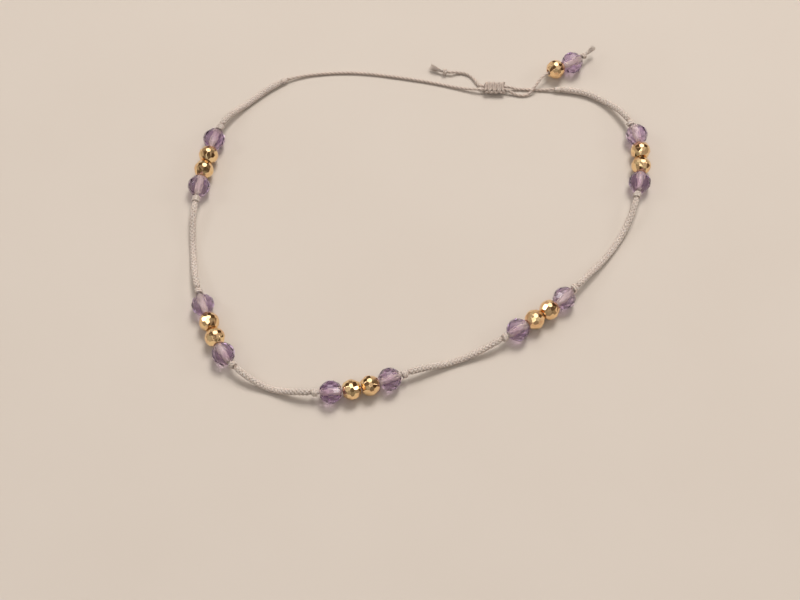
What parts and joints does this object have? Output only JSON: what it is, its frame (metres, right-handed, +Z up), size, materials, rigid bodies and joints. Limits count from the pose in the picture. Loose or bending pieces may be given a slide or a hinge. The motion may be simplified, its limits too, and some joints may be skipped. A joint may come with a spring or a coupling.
{
  "type": "gemstone bracelet",
  "caption": "Adjustable macrame cord bracelet lying as an open loop, with groups of faceted amethyst and gold beads between knots and a sliding knot for a closure.",
  "frame": {"origin": "middle of the bracelet's footprint, on the surface that it lies on", "axes": "+Z up from that surface, +X along the loop's longest side, +Y towards the sliding knot"},
  "size_m": [0.0652, 0.0578, 0.003],
  "materials": {
    "waxed_cord": "waxed, softly shiny",
    "waxed_thread": "waxed, softly shiny",
    "amethyst": "cut and polished, clear",
    "gold": "diamond-cut, gold-plated"
  },
  "bodies": {
    "root": {"amethyst_bead_1_1": "amethyst", "gold_bead_1_1": "gold", "cord_knot_1_1": "waxed_cord", "amethyst_bead_1_2": "amethyst", "gold_bead_1_2": "gold", "cord_knot_1_2": "waxed_cord", "bead_thread_1": "waxed_cord", "amethyst_bead_2_1": "amethyst", "gold_bead_2_1": "gold", "cord_knot_2_1": "waxed_cord", "amethyst_bead_2_2": "amethyst", "gold_bead_2_2": "gold", "cord_knot_2_2": "waxed_cord", "bead_thread_2": "waxed_cord", "amethyst_bead_3_1": "amethyst", "gold_bead_3_1": "gold", "cord_knot_3_1": "waxed_cord", "amethyst_bead_3_2": "amethyst", "gold_bead_3_2": "gold", "cord_knot_3_2": "waxed_cord", "bead_thread_3": "waxed_cord", "amethyst_bead_4_1": "amethyst", "gold_bead_4_1": "gold", "cord_knot_4_1": "waxed_cord", "amethyst_bead_4_2": "amethyst", "gold_bead_4_2": "gold", "cord_knot_4_2": "waxed_cord", "bead_thread_4": "waxed_cord", "amethyst_bead_5_1": "amethyst", "gold_bead_5_1": "gold", "cord_knot_5_1": "waxed_cord", "amethyst_bead_5_2": "amethyst", "gold_bead_5_2": "gold", "cord_knot_5_2": "waxed_cord", "bead_thread_5": "waxed_cord", "braided_cord_1": "waxed_cord", "braided_cord_2": "waxed_cord", "braided_cord_3": "waxed_cord", "braided_cord_4": "waxed_cord", "braided_cord_5": "waxed_cord", "braided_cord_6": "waxed_cord", "sliding_knot": "waxed_thread", "closing_thread_left": "waxed_thread", "closing_thread_right": "waxed_thread", "end_gold_bead": "gold", "end_amethyst_bead": "amethyst", "end_knot_right": "waxed_thread", "end_knot_left": "waxed_thread"}
  },
  "joints": []
}
